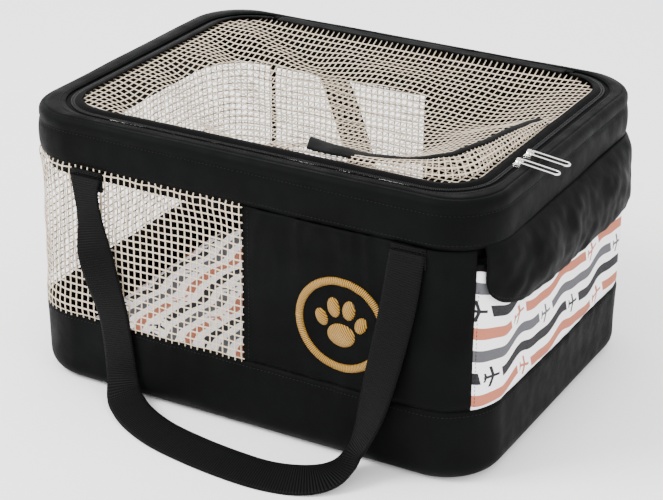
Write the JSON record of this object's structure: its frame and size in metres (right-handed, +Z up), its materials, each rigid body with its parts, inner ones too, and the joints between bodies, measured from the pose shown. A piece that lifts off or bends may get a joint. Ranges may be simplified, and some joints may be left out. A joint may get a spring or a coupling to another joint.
{
  "type": "pet transport carrier",
  "caption": "Soft-sided pet carrier: sewn fabric shell with wrap-round net windows, a zipped net lid, a flapped end pocket and webbing handles.",
  "frame": {"origin": "middle of the underside panel, on the surface the carrier stands on", "axes": "+X towards the end with the pocket, -Y towards the long wall with the emblem, +Z up"},
  "size_m": [0.4481, 0.4962, 0.2487],
  "materials": {
    "black_polyester": "plain woven, matt",
    "black_lining": "thin plain lining, matt",
    "grey_foam": "soft open-cell padding sheet",
    "cream_coated_net": "vinyl-coated square mesh, satin",
    "printed_cotton": "plain weave with a printed wavy stripe",
    "black_webbing": "ribbed webbing, slight sheen",
    "hook_and_loop": "hook and loop tape",
    "plastic_board": "plain stiff board",
    "spring_steel": "plain wire",
    "nickel_plate": "bright plated",
    "gold_thread": "satin-stitched thread"
  },
  "bodies": {
    "shell": {"bottom_panel": "black_polyester", "lower_band": "black_polyester", "front_panel": "black_polyester", "back_panel": "black_polyester", "net_seam_tape": "black_polyester", "end_wall": "black_polyester", "pocket_hem": "black_polyester", "top_band": "black_polyester", "rim_strip": "black_polyester", "zip_tape_outer": "black_polyester", "zip_coil_outer": "black_polyester", "zip_stop_left": "black_polyester", "zip_stop_right": "black_polyester", "lower_lining": "black_lining", "front_lining": "black_lining", "back_lining": "black_lining", "end_lining": "black_lining", "rim_facing": "black_lining", "lower_foam": "grey_foam", "front_foam": "grey_foam", "back_foam": "grey_foam", "end_foam": "grey_foam", "side_net": "cream_coated_net", "pocket_panel": "printed_cotton", "front_handle_root_left": "black_webbing", "front_handle_root_right": "black_webbing", "rear_handle_root_left": "black_webbing", "rear_handle_root_right": "black_webbing", "pocket_closure_tape": "hook_and_loop", "base_board": "plastic_board", "rim_wire": "spring_steel", "wire_ferrule": "spring_steel", "emblem": "gold_thread"},
    "lid": {"lid_net": "cream_coated_net", "lid_hinge_tape": "black_polyester", "lid_strap": "black_polyester", "zip_tape_inner": "black_polyester", "zip_coil_inner": "black_polyester"},
    "flap": {"pocket_flap": "black_polyester", "flap_closure_tape": "hook_and_loop"},
    "mat": {"floor_mat": "printed_cotton"},
    "front_handle": {"front_handle": "black_webbing"},
    "rear_handle": {"rear_handle": "black_webbing"},
    "zip_slider_front": {"zip_slider_front": "nickel_plate"},
    "zip_slider_rear": {"zip_slider_rear": "nickel_plate"},
    "zip_pull_front": {"zip_pull_front": "nickel_plate"},
    "zip_pull_rear": {"zip_pull_rear": "nickel_plate"}
  },
  "joints": [
    {"name": "mat_lift", "type": "slide", "parent": "shell", "child": "mat", "axis": [0, 0, 1], "range_m": [0, 0.19]},
    {"name": "lid_hinge", "type": "hinge", "parent": "shell", "child": "lid", "pos_m": [0, 0.15185, 0.2435], "axis": [-1, 0, 0], "range_deg": [0, 105]},
    {"name": "flap_lift", "type": "hinge", "parent": "shell", "child": "flap", "pos_m": [0.2158, 0, 0.203], "axis": [0, -1, 0], "range_deg": [0, 120]},
    {"name": "front_handle_swing", "type": "hinge", "parent": "shell", "child": "front_handle", "pos_m": [0.006, -0.1658, 0.198], "axis": [-1, 0, 0], "range_deg": [0, 180]},
    {"name": "rear_handle_swing", "type": "hinge", "parent": "shell", "child": "rear_handle", "pos_m": [0, 0.1658, 0.198], "axis": [1, 0, 0], "range_deg": [0, 140]},
    {"name": "zip_slider_front_slide", "type": "slide", "parent": "shell", "child": "zip_slider_front", "axis": [0, -1, 0], "range_m": [0, 0.026]},
    {"name": "zip_slider_rear_slide", "type": "slide", "parent": "shell", "child": "zip_slider_rear", "axis": [0, 1, 0], "range_m": [0, 0.138]},
    {"name": "zip_pull_front_turn", "type": "hinge", "parent": "zip_slider_front", "child": "zip_pull_front", "pos_m": [0.1982, -0.066, 0.2463], "axis": [0, -1, 0], "range_deg": [0, 165]},
    {"name": "zip_pull_rear_turn", "type": "hinge", "parent": "zip_slider_rear", "child": "zip_pull_rear", "pos_m": [0.1982, -0.046, 0.2463], "axis": [0, -1, 0], "range_deg": [0, 165]}
  ]
}
